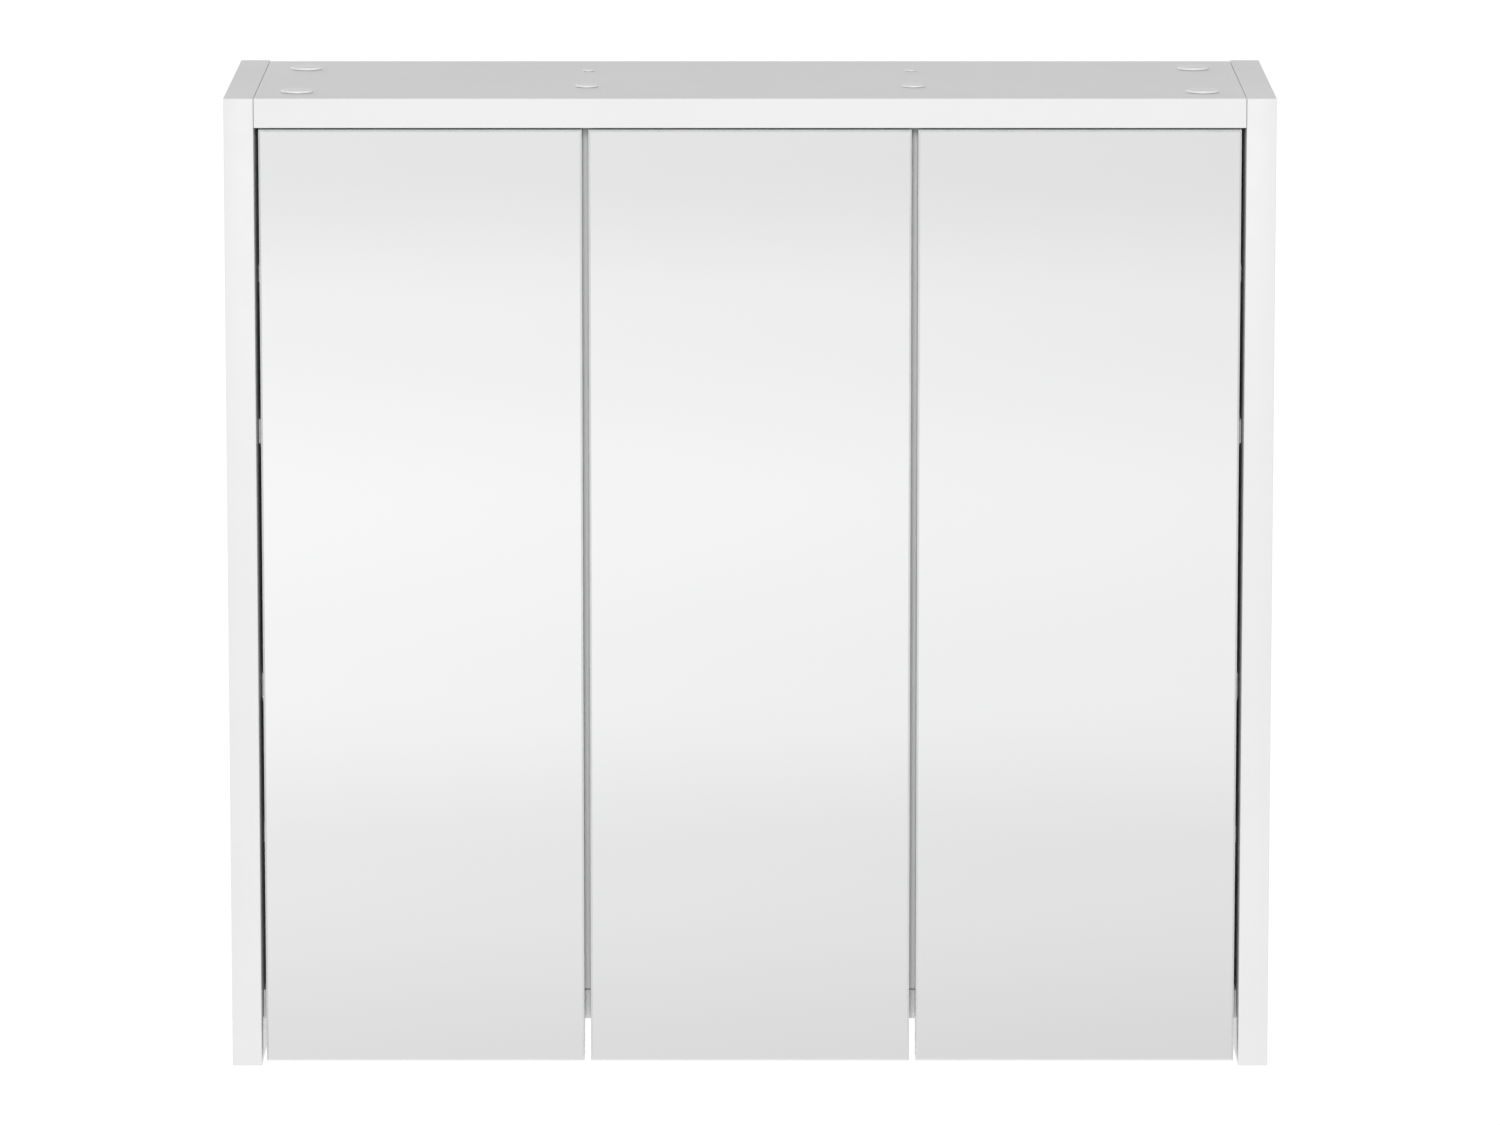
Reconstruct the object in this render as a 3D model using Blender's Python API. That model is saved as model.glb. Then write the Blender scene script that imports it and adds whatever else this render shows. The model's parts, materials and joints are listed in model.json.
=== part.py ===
"""Hanging wall cabinet with three mirror doors.

Metres, +Z up. X runs to the right and +Y into the wall. The wall is the plane y = 0, the doors face -Y, and
the origin lies midway between the two screws that the cabinet hangs on. Heights are counted from the lower
ends of the side panels and depths from the front, and world_z and world_y turn them into coordinates.

Each door hangs on two concealed cup hinges. A goose-neck link turns on a pin at the nose of the hinge's arm,
and the door turns on a second pin, in the cup, at the link's other end.
"""

import math

import bmesh
import bpy
from mathutils import Vector

# The whole cabinet
WIDTH = 0.640
HEIGHT = 0.602
DEPTH = 0.200
HANG_HEIGHT = 0.552
GAP = 0.0003
# How far a cutter runs out of the face that it opens, and how far a joined shape stays inside its neighbour's
CUT_PAST = 0.005
SUNK = 0.00005

# Boards
BOARD = 0.018
PARTITION = 0.016
SHELF = 0.015
BACK = 0.003
DOOR_BOARD = 0.015
MIRROR = 0.004
EDGE_BREAK = 0.0003
TOP_REAR_SETBACK = 0.005
INNER_SETBACK = 0.022
BOTTOM_LIFT = 0.025
BACK_LIP = 0.004

# Doors
DOOR_SIDE_GAP = 0.003
DOOR_BETWEEN_GAP = 0.004
DOOR_TOP_GAP = 0.0012
DOOR_BOTTOM = 0.003
MIRROR_ARRIS = 0.0012

# Shelves: each loose on its pins, the upper one pulled a little further forward
SHELF_DEPTH = 0.1625
SHELF_SIDE_GAP = 0.0004
SHELF_SPREAD = 0.080
SHELF_FRONTS = {"upper": 0.024, "lower": 0.0325}

# Fittings in the top panel
CAM_INSET = 0.0435
CAM_DEPTHS = {"front": 0.032, "rear": 0.152}
CAM_RADIUS = 0.0074
CAM_BORE_RADIUS = 0.0077
CAM_BORE_DEPTH = 0.0130
CAM_HEIGHT = 0.0090
CAM_SLOT_WIDTH = 0.0016
CAM_SLOT_DEPTH = 0.0030
CAM_SLOT_HALF_LENGTH = 0.0044
CAM_COVER_RADIUS = 0.00975
CAM_COVER_PEG_RADIUS = 0.0068
CAM_COVER_PEG = 0.0030
CAM_COVER_RISE = 0.0017
SCREW_CAP_RADIUS = 0.0069
SCREW_CAP_DEPTH = 0.060
SCREW_CAP_RISE = 0.0014
HOLE_PLUG_RADIUS = 0.0034
HOLE_PLUG_DEPTH = 0.141
HOLE_PLUG_RISE = 0.0009
PEG_RADIUS = 0.0018
PEG_LENGTH = 0.0040
PEG_BORE_RADIUS = 0.0022
PEG_BORE_DEPTH = 0.0060
CAP_RIM_SHARE = 0.35

# Hanger plates, let into the rear edges of the sides
HANGER_WIDTH = 0.014
HANGER_HEIGHT = 0.048
HANGER_THICKNESS = 0.0015
HANGER_CENTRE = -0.006
HANGER_CORNER = 0.003
KEYHOLE_RADIUS = 0.005
KEYHOLE_DROP = 0.012
SLOT_HALF_WIDTH = 0.0025
HANGER_SCREW_SPREAD = 0.018
HANGER_SCREW_RADIUS = 0.0021
POCKET_WIDTH = 0.011
POCKET_DEPTH = 0.012
POCKET_TOP = 0.004
POCKET_BOTTOM = -0.018

# Bumpers on the bottom panel's front edge
BUMPER_RADIUS = 0.0040
BUMPER_NOSE_RADIUS = 0.0034
BUMPER_INSET = 0.010

# Hinges: places across are counted from the door's hinge edge, inwards
HINGE_MARGIN = 0.095
CUP_CENTRE = 0.0205
CUP_RADIUS = 0.0172
CUP_BORE_RADIUS = 0.0175
CUP_INNER_RADIUS = 0.0162
CUP_BORE_FLOOR = 0.0068
CUP_FLOOR = 0.0009
CUP_FLANGE = 0.0013
CUP_FLANGE_RADIUS = 0.0185
CUP_EAR_OFFSET = 0.004
CUP_EAR_RADIUS = 0.007
CUP_EAR_SPREAD = 0.023
CUP_SCREW_RADIUS = 0.0020
CUP_PIN = (0.0110, 0.0108)
CUP_PIN_RADIUS = 0.0014
CUP_PIN_HALF = 0.0135
ARM_PIN = (0.0350, 0.0290)
ARM_PIN_RADIUS = 0.0015
ARM_NOSE_RADIUS = 0.0040
ARM_HALF_WIDTH = 0.0069
ARM_SHEET = 0.0015
ARM_REAR_DEPTH = 0.084
ARM_FOOT = 0.0026
ARM_TOP = 0.0098
ARM_ELBOW = (0.0062, 0.0440)
ARM_MOUTH = 0.012
ARM_MOUTH_FRONT = -0.020
WEB_END = 0.009
LINK_HALF_WIDTH = 0.0050
LINK_THICKNESS = 0.0020
LINK_RUN_DEPTH = 0.0097
LINK_CORNER = 0.0300
LINK_BEND_RADIUS = 0.007
LINK_CUP_EYE = 0.0024
LINK_ARM_EYE = 0.0034
LINK_EYE_PROUD = 0.0002
PIN_CLEARANCE = 0.0003
PLATE_DEPTH = 0.057
PLATE_WING = (0.0020, 0.012, 0.050)
PLATE_RIB_HEIGHT = 0.0080
PLATE_RIB_DEPTHS = (0.040, 0.082)
PLATE_RIB_HALF_WIDTH = 0.0050
PLATE_SCREW_SPREAD = 0.016
PLATE_SCREW_RADIUS = 0.0022

FINE_SIDES = 24
SMALL_SIDES = 12
BEND_STEPS = 6

# Colour, roughness, metallic
FINISHES = {
    "white_board": ((0.86, 0.86, 0.86), 0.42, 0.0),
    "white_back": ((0.82, 0.82, 0.82), 0.55, 0.0),
    "mirror": ((0.90, 0.91, 0.91), 0.02, 1.0),
    "white_plastic": ((0.84, 0.84, 0.84), 0.35, 0.0),
    "nickel": ((0.62, 0.61, 0.58), 0.28, 1.0),
    "zinc": ((0.55, 0.55, 0.54), 0.40, 1.0),
    "clear_rubber": ((0.70, 0.70, 0.70), 0.50, 0.0),
}

# Worked out from the sizes above
HALF = WIDTH / 2
INNER_HALF = HALF - BOARD
DOOR_WIDTH = (2 * INNER_HALF - 2 * DOOR_SIDE_GAP - 2 * DOOR_BETWEEN_GAP) / 3
DOOR_TOP = HEIGHT - BOARD - DOOR_TOP_GAP
DOOR_BACK = MIRROR + GAP + DOOR_BOARD
PARTITION_X = DOOR_WIDTH / 2 + DOOR_BETWEEN_GAP / 2
CAVITY_BOTTOM = BOTTOM_LIFT + BOARD
CAVITY_TOP = HEIGHT - BOARD
HINGE_HEIGHTS = {"upper": CAVITY_TOP - HINGE_MARGIN, "lower": CAVITY_BOTTOM + HINGE_MARGIN}


def world_y(depth):
    return depth - DEPTH


def world_z(height):
    return height - HANG_HEIGHT


def clear_scene():
    for old in list(bpy.data.objects):
        bpy.data.objects.remove(old)


def world_spot(obj):
    spot = Vector()
    while obj is not None:
        spot += obj.location
        obj = obj.parent
    return spot


def empty(name, spot, parent=None):
    made = bpy.data.objects.new(name, None)
    bpy.context.scene.collection.objects.link(made)
    made.empty_display_size = 0.02
    made.parent = parent
    made.location = Vector(spot) - world_spot(parent)
    return made


def piece(name, shape, spot, parent, finish):
    """The object of one sub-part: its mesh from a bmesh, its origin at spot, and a material of its own."""
    bmesh.ops.recalc_face_normals(shape, faces=shape.faces)
    mesh = bpy.data.meshes.new(name)
    shape.to_mesh(mesh)
    shape.free()
    mesh.shade_smooth()
    mesh.set_sharp_from_angle(angle=math.radians(35))
    made = bpy.data.objects.new(name, mesh)
    bpy.context.scene.collection.objects.link(made)
    made.parent = parent
    made.location = Vector(spot) - world_spot(parent)
    if finish is not None:
        colour, roughness, metallic = FINISHES[finish]
        material = bpy.data.materials.new(name + "_" + finish)
        material.use_nodes = True
        shader = material.node_tree.nodes["Principled BSDF"]
        shader.inputs["Base Color"].default_value = (*colour, 1.0)
        shader.inputs["Roughness"].default_value = roughness
        shader.inputs["Metallic"].default_value = metallic
        mesh.materials.append(material)
    return made


def helper(name, shape, obj, operation):
    """A hidden shape that is cut from obj or joined to it, in obj's own coordinates."""
    tool = piece(obj.name + "_" + name, shape, world_spot(obj), obj, None)
    tool.hide_render = True
    tool.display_type = "WIRE"
    boolean = obj.modifiers.new(name, "BOOLEAN")
    boolean.operation = operation
    boolean.object = tool


def cut(obj, name, shape):
    helper(name, shape, obj, "DIFFERENCE")


def join(obj, name, shape):
    helper(name, shape, obj, "UNION")


def box_shape(low, high):
    shape = bmesh.new()
    bmesh.ops.create_cube(shape, size=1.0)
    size = Vector(high) - Vector(low)
    bmesh.ops.scale(shape, vec=size, verts=shape.verts)
    bmesh.ops.translate(shape, vec=(Vector(low) + Vector(high)) / 2, verts=shape.verts)
    return shape


def slab_shape(outline, axis, low, high):
    """A flat outline pushed out along one axis. Its two numbers are the other axes, in X, Y, Z order."""
    shape = bmesh.new()
    others = [k for k in range(3) if k != axis]
    corners = []
    for point in outline:
        spot = [0.0, 0.0, 0.0]
        spot[axis] = low
        spot[others[0]] = point[0]
        spot[others[1]] = point[1]
        corners.append(shape.verts.new(spot))
    face = shape.faces.new(corners)
    grown = bmesh.ops.extrude_face_region(shape, geom=[face])
    moved = [item for item in grown["geom"] if isinstance(item, bmesh.types.BMVert)]
    push = [0.0, 0.0, 0.0]
    push[axis] = high - low
    bmesh.ops.translate(shape, vec=push, verts=moved)
    return shape


def turned_shape(profile, axis, sides):
    """A solid turned about an axis through the origin, from (radius, place along the axis) points."""
    across = 0 if axis != 0 else 1
    turn_axis = [0.0, 0.0, 0.0]
    turn_axis[axis] = 1.0
    shape = bmesh.new()
    ring = []
    for radius, along in profile:
        spot = [0.0, 0.0, 0.0]
        spot[across] = radius
        spot[axis] = along
        ring.append(shape.verts.new(spot))
    edges = [shape.edges.new(pair) for pair in zip(ring, ring[1:])]
    bmesh.ops.spin(shape, geom=ring + edges, axis=turn_axis, cent=(0, 0, 0), angle=math.tau, steps=sides)
    bmesh.ops.remove_doubles(shape, verts=shape.verts, dist=1e-6)
    return shape


def rod_shape(spot, radius, axis, low, high, sides=SMALL_SIDES):
    """A round bar along one axis, with spot giving its centre on the other two."""
    shape = turned_shape([(0, low), (radius, low), (radius, high), (0, high)], axis, sides)
    others = [k for k in range(3) if k != axis]
    shift = [0.0, 0.0, 0.0]
    shift[others[0]] = spot[0]
    shift[others[1]] = spot[1]
    bmesh.ops.translate(shape, vec=shift, verts=shape.verts)
    return shape


def arc(centre, radius, start, end, steps):
    """Points round an arc, in the plane of an outline, with the angles in degrees."""
    points = []
    for k in range(steps + 1):
        angle = math.radians(start + (end - start) * k / steps)
        points.append((centre[0] + radius * math.cos(angle), centre[1] + radius * math.sin(angle)))
    return points


def rounded_outline(half_wide, half_high, radius, steps=4):
    points = []
    for sign_x, sign_y, start in ((1, 1, 0), (-1, 1, 90), (-1, -1, 180), (1, -1, 270)):
        centre = (sign_x * (half_wide - radius), sign_y * (half_high - radius))
        points += arc(centre, radius, start, start + 90, steps)
    return points


def board(name, low, high, parent, finish="white_board"):
    """A flat board between two corners, with a fine break on every edge."""
    centre = (Vector(low) + Vector(high)) / 2
    half = (Vector(high) - Vector(low)) / 2
    made = piece(name, box_shape(-half, half), centre, parent, finish)
    bevel = made.modifiers.new("edge_break", "BEVEL")
    bevel.width = EDGE_BREAK
    bevel.segments = 2
    bevel.limit_method = "ANGLE"
    return made


def make_carcass(root):
    """Sides, top, bottom, partitions and back. Returns the sides and the top, which are cut later."""
    inner = INNER_HALF - GAP
    sides = {}
    for name, sign in (("left", -1), ("right", 1)):
        near, far = sorted((sign * INNER_HALF, sign * HALF))
        low = (near, world_y(0), world_z(0))
        high = (far, 0, world_z(HEIGHT))
        sides[name] = board("side_panel_" + name, low, high, root)
    top = board(
        "top_panel",
        (-inner, world_y(0), world_z(CAVITY_TOP)),
        (inner, -TOP_REAR_SETBACK, world_z(HEIGHT)),
        root,
    )
    board(
        "bottom_panel",
        (-inner, world_y(INNER_SETBACK), world_z(BOTTOM_LIFT)),
        (inner, -TOP_REAR_SETBACK, world_z(CAVITY_BOTTOM)),
        root,
    )
    for name, sign in (("left", -1), ("right", 1)):
        centre = sign * PARTITION_X
        board(
            "partition_" + name,
            (centre - PARTITION / 2, world_y(INNER_SETBACK), world_z(CAVITY_BOTTOM + GAP)),
            (centre + PARTITION / 2, -TOP_REAR_SETBACK, world_z(CAVITY_TOP - GAP)),
            root,
        )
    back_front = -TOP_REAR_SETBACK + GAP
    board(
        "back_panel",
        (-inner, back_front, world_z(BOTTOM_LIFT + BACK_LIP)),
        (inner, back_front + BACK, world_z(HEIGHT - BACK_LIP)),
        root,
        "white_back",
    )
    return sides, top


def make_shelves(root):
    """Two shelves in each compartment."""
    partition_face = PARTITION_X + PARTITION / 2
    bays = {
        "left": (-INNER_HALF, -partition_face),
        "middle": (-PARTITION_X + PARTITION / 2, PARTITION_X - PARTITION / 2),
        "right": (partition_face, INNER_HALF),
    }
    middle = (CAVITY_BOTTOM + CAVITY_TOP) / 2
    for bay, (left, right) in bays.items():
        for level, sign in (("upper", 1), ("lower", -1)):
            centre = world_z(middle + sign * SHELF_SPREAD)
            front = world_y(SHELF_FRONTS[level])
            board(
                "shelf_" + bay + "_" + level,
                (left + SHELF_SIDE_GAP, front, centre - SHELF / 2),
                (right - SHELF_SIDE_GAP, front + SHELF_DEPTH, centre + SHELF / 2),
                root,
            )


def cap_profile(radius, rise, peg_radius, peg_length):
    """A cap's profile from the foot of its peg to the top of its domed head, standing on height 0."""
    rim = rise * CAP_RIM_SHARE
    profile = [(0, -peg_length), (peg_radius, -peg_length), (peg_radius, GAP)]
    profile += [(radius, GAP), (radius, GAP + rim)]
    for k in range(1, 4):
        angle = k * math.pi / 8
        profile.append((radius * math.cos(angle), GAP + rim + (rise - rim) * math.sin(angle)))
    profile.append((0, GAP + rise))
    return profile


def make_top_fittings(root, top):
    """The cam locks in their bores with a cover over each, the two screw caps and the two hole plugs."""
    surface = world_z(HEIGHT)
    bores = bmesh.new()

    def bore(x, y, radius, depth):
        local = Vector((x, y, surface)) - world_spot(top)
        made = bmesh.ops.create_cone(
            bores,
            cap_ends=True,
            segments=SMALL_SIDES + 8,
            radius1=radius,
            radius2=radius,
            depth=2 * depth,
        )
        bmesh.ops.translate(bores, vec=local, verts=made["verts"])

    for row, depth in CAM_DEPTHS.items():
        for side, sign in (("left", -1), ("right", 1)):
            x = sign * (HALF - CAM_INSET)
            y = world_y(depth)
            bore(x, y, CAM_BORE_RADIUS, CAM_BORE_DEPTH)
            foot = surface - CAM_BORE_DEPTH + GAP
            profile = [(0, 0), (CAM_RADIUS, 0), (CAM_RADIUS, CAM_HEIGHT), (0, CAM_HEIGHT)]
            cam = piece(
                "cam_lock_" + row + "_" + side,
                turned_shape(profile, 2, SMALL_SIDES + 4),
                (x, y, foot),
                root,
                "zinc",
            )
            reach = CAM_SLOT_HALF_LENGTH
            half = CAM_SLOT_WIDTH / 2
            slot_floor = CAM_HEIGHT - CAM_SLOT_DEPTH
            slot = box_shape((-reach, -half, slot_floor), (reach, half, CAM_HEIGHT + CUT_PAST))
            cut(cam, "driver_slot", slot)
            profile = cap_profile(CAM_COVER_RADIUS, CAM_COVER_RISE, CAM_COVER_PEG_RADIUS, CAM_COVER_PEG)
            piece(
                "cam_cover_" + row + "_" + side,
                turned_shape(profile, 2, FINE_SIDES),
                (x, y, surface),
                root,
                "white_plastic",
            )
    small = (
        ("screw_cap_", SCREW_CAP_RADIUS, SCREW_CAP_RISE, SCREW_CAP_DEPTH),
        ("hole_plug_", HOLE_PLUG_RADIUS, HOLE_PLUG_RISE, HOLE_PLUG_DEPTH),
    )
    for name, radius, rise, depth in small:
        for side, sign in (("left", -1), ("right", 1)):
            x = sign * PARTITION_X
            y = world_y(depth)
            bore(x, y, PEG_BORE_RADIUS, PEG_BORE_DEPTH)
            profile = cap_profile(radius, rise, PEG_RADIUS, PEG_LENGTH)
            shape = turned_shape(profile, 2, SMALL_SIDES + 4)
            piece(name + side, shape, (x, y, surface), root, "white_plastic")
    cut(top, "bores", bores)


def make_hangers(root, sides):
    """Keyhole plates in the rear edges of the sides, each over a pocket for the head of the wall's screw."""
    for name, sign in (("left", -1), ("right", 1)):
        x = sign * (HALF - BOARD / 2)
        side = sides[name]
        offset = world_spot(side)
        half_wide = HANGER_WIDTH / 2 + GAP
        half_high = HANGER_HEIGHT / 2 + GAP
        recess = box_shape(
            Vector((x - half_wide, -HANGER_THICKNESS - GAP, HANGER_CENTRE - half_high)) - offset,
            Vector((x + half_wide, CUT_PAST, HANGER_CENTRE + half_high)) - offset,
        )
        cut(side, "hanger_recess", recess)
        pocket = box_shape(
            Vector((x - POCKET_WIDTH / 2, -HANGER_THICKNESS - GAP - POCKET_DEPTH, POCKET_BOTTOM)) - offset,
            Vector((x + POCKET_WIDTH / 2, CUT_PAST, POCKET_TOP)) - offset,
        )
        cut(side, "screw_pocket", pocket)
        outline = [
            (px, pz + HANGER_CENTRE)
            for px, pz in rounded_outline(HANGER_WIDTH / 2, HANGER_HEIGHT / 2, HANGER_CORNER)
        ]
        plate = piece(
            "hanger_plate_" + name,
            slab_shape(outline, 1, -HANGER_THICKNESS, 0),
            (x, 0, 0),
            root,
            "zinc",
        )
        neck = math.degrees(math.acos(SLOT_HALF_WIDTH / KEYHOLE_RADIUS))
        keyhole = arc((0, -KEYHOLE_DROP), KEYHOLE_RADIUS, neck, -180 - neck, 18)
        keyhole += arc((0, 0), SLOT_HALF_WIDTH, 180, 0, 8)
        cut(plate, "keyhole", slab_shape(keyhole, 1, -CUT_PAST, CUT_PAST))
        for end, spread in (("upper", 1), ("lower", -1)):
            spot = (0, HANGER_CENTRE + spread * HANGER_SCREW_SPREAD)
            hole = rod_shape(spot, HANGER_SCREW_RADIUS, 1, -CUT_PAST, CUT_PAST)
            cut(plate, end + "_screw_hole", hole)


def make_bumpers(root):
    """A soft stop behind each door's free edge, on the bottom panel's front edge."""
    first_edge = PARTITION_X + DOOR_BETWEEN_GAP / 2
    second_edge = PARTITION_X - DOOR_BETWEEN_GAP / 2
    spots = {
        "left": -first_edge - BUMPER_INSET,
        "middle": second_edge - BUMPER_INSET,
        "right": first_edge + BUMPER_INSET,
    }
    length = INNER_SETBACK - DOOR_BACK - 2 * GAP
    profile = [(0, 0), (BUMPER_NOSE_RADIUS, 0), (BUMPER_RADIUS, length), (0, length)]
    for name, x in spots.items():
        spot = (x, world_y(DOOR_BACK + GAP), world_z(BOTTOM_LIFT + BOARD / 2))
        piece("bumper_" + name, turned_shape(profile, 1, SMALL_SIDES), spot, root, "clear_rubber")


def chamfered_mirror(name, low, high, parent):
    """A mirror pane: a square back edge and a polished arris round its front face."""
    centre = (Vector(low) + Vector(high)) / 2
    half = (Vector(high) - Vector(low)) / 2
    shape = box_shape(-half, half)
    front = [e for e in shape.edges if all(v.co.y < 0 for v in e.verts)]
    bmesh.ops.bevel(shape, geom=front, offset=MIRROR_ARRIS, segments=1, affect="EDGES")
    return piece(name, shape, centre, parent, "mirror")


def hinge_cup(name, sign, spot, parent):
    """A pressed cup with a flange and two screw ears, and the pin that the link turns on."""
    bore_floor = CUP_BORE_FLOOR + GAP
    flange = DOOR_BACK + GAP
    profile = [
        (0, bore_floor),
        (CUP_RADIUS, bore_floor),
        (CUP_RADIUS, flange),
        (CUP_FLANGE_RADIUS, flange),
        (CUP_FLANGE_RADIUS, flange + CUP_FLANGE),
        (0, flange + CUP_FLANGE),
    ]
    cup = piece(name, turned_shape(profile, 1, FINE_SIDES), spot, parent, "nickel")
    offset = sign * CUP_EAR_OFFSET
    ears = arc((offset, CUP_EAR_SPREAD), CUP_EAR_RADIUS, 0, 180, 6)
    ears += arc((offset, -CUP_EAR_SPREAD), CUP_EAR_RADIUS, 180, 360, 6)
    join(cup, "ears", slab_shape(ears, 1, flange + SUNK, flange + CUP_FLANGE - SUNK))
    mouth = flange + CUP_FLANGE + CUT_PAST
    inside = rod_shape((0, 0), CUP_INNER_RADIUS, 1, bore_floor + CUP_FLOOR, mouth, FINE_SIDES)
    cut(cup, "inside", inside)
    pin_x = sign * (CUP_PIN[0] - CUP_CENTRE)
    pin = rod_shape((pin_x, CUP_PIN[1]), CUP_PIN_RADIUS, 2, -CUP_PIN_HALF, CUP_PIN_HALF)
    join(cup, "pin", pin)
    for end, spread in (("upper", 1), ("lower", -1)):
        centre = (offset, spread * CUP_EAR_SPREAD)
        hole = rod_shape(centre, CUP_SCREW_RADIUS, 1, flange - CUT_PAST, flange + CUT_PAST)
        cut(cup, end + "_screw_hole", hole)


def hinge_arm(name, sign, face, spot, parent):
    """The folded steel arm from its plate to the link's pin. face is the board's place, from the pin."""
    rear = ARM_REAR_DEPTH - ARM_PIN[1]
    elbow = Vector((face + ARM_ELBOW[0], ARM_ELBOW[1] - ARM_PIN[1]))
    along = -elbow.normalized()
    across = Vector((-along.y, along.x))

    def neck_edge(offset, x):
        """The height of the line along the neck, offset to one side of its middle, at x."""
        start = across * offset
        return start.y + (x - start.x) / along.x * along.y

    upper_angle = math.degrees(math.atan2(across.y, across.x))
    foot = face + ARM_FOOT
    top = face + ARM_TOP
    inner_top = top - ARM_SHEET
    nose = ARM_NOSE_RADIUS
    outline = [(foot, rear), (foot, neck_edge(-nose, foot))]
    outline += arc((0, 0), nose, upper_angle - 180, upper_angle, 8)
    outline += [(top, neck_edge(nose, top)), (top, rear)]
    web = nose - ARM_SHEET
    web_start = across * web - along * WEB_END
    web_outside = across * (nose + CUT_PAST) - along * WEB_END
    channel = [
        (face, rear + CUT_PAST),
        (face, ARM_MOUTH_FRONT),
        (ARM_MOUTH, ARM_MOUTH_FRONT),
        (ARM_MOUTH, ARM_MOUTH),
        tuple(web_outside),
        tuple(web_start),
        (inner_top, neck_edge(web, inner_top)),
        (inner_top, rear + CUT_PAST),
    ]
    inner_half = ARM_HALF_WIDTH - ARM_SHEET
    outline = [(sign * x, y) for x, y in outline]
    channel = [(sign * x, y) for x, y in channel]
    arm = piece(name, slab_shape(outline, 2, -ARM_HALF_WIDTH, ARM_HALF_WIDTH), spot, parent, "nickel")
    cut(arm, "channel", slab_shape(channel, 2, -inner_half, inner_half))
    pin_half = ARM_HALF_WIDTH - ARM_SHEET / 2
    join(arm, "pin", rod_shape((0, 0), ARM_PIN_RADIUS, 2, -pin_half, pin_half))


def hinge_link(name, sign, spot, parent):
    """A goose-neck: straight along the cup's floor, round a bend and up to the arm's pin, its origin."""
    cup_eye = Vector((CUP_PIN[0] - ARM_PIN[0], CUP_PIN[1] - ARM_PIN[1]))
    run = LINK_RUN_DEPTH - ARM_PIN[1]
    corner = Vector((LINK_CORNER - ARM_PIN[0], run))
    rise = -corner.normalized()
    turn = math.atan2(rise.y, rise.x)
    tangent = LINK_BEND_RADIUS * math.tan(turn / 2)
    centre = (corner.x - tangent, run + LINK_BEND_RADIUS)
    half = LINK_THICKNESS / 2
    out_side = Vector((rise.y, -rise.x)) * half
    turn = math.degrees(turn)
    outline = [(cup_eye.x, run - half)]
    outline += arc(centre, LINK_BEND_RADIUS + half, -90, -90 + turn, BEND_STEPS)
    outline += [tuple(out_side), tuple(-out_side)]
    outline += arc(centre, LINK_BEND_RADIUS - half, -90 + turn, -90, BEND_STEPS)
    outline += [(cup_eye.x, run + half)]
    outline = [(sign * x, y) for x, y in outline]
    wide = LINK_HALF_WIDTH
    link = piece(name, slab_shape(outline, 2, -wide, wide), spot, parent, "nickel")
    eyes = (
        ("cup_eye", (sign * cup_eye.x, cup_eye.y), LINK_CUP_EYE, CUP_PIN_RADIUS),
        ("arm_eye", (0.0, 0.0), LINK_ARM_EYE, ARM_PIN_RADIUS),
    )
    eye_half = wide + LINK_EYE_PROUD
    for eye, centre, radius, _ in eyes:
        join(link, eye, rod_shape(centre, radius, 2, -eye_half, eye_half))
    for eye, centre, _, pin_radius in eyes:
        hole = rod_shape(centre, pin_radius + PIN_CLEARANCE, 2, -wide - CUT_PAST, wide + CUT_PAST)
        cut(link, eye + "_hole", hole)


def hinge_plate(name, sign, spot, parent):
    """The mounting plate: two wings for its screws and a rib under the arm. Its origin is on the board."""
    thick, wing_deep, wing_high = PLATE_WING

    def across(low, high, y_low, y_high, half_high):
        near, far = sorted((sign * low, sign * high))
        return box_shape((near, y_low, -half_high), (far, y_high, half_high))

    wings = across(GAP, GAP + thick, -wing_deep / 2, wing_deep / 2, wing_high / 2)
    plate = piece(name, wings, spot, parent, "nickel")
    rib_start, rib_end = (depth - PLATE_DEPTH for depth in PLATE_RIB_DEPTHS)
    rib = across(GAP + SUNK, PLATE_RIB_HEIGHT, rib_start, rib_end, PLATE_RIB_HALF_WIDTH)
    join(plate, "rib", rib)
    for end, spread in (("upper", 1), ("lower", -1)):
        hole = rod_shape((0, spread * PLATE_SCREW_SPREAD), PLATE_SCREW_RADIUS, 0, -CUT_PAST, CUT_PAST)
        cut(plate, end + "_screw_hole", hole)


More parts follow.
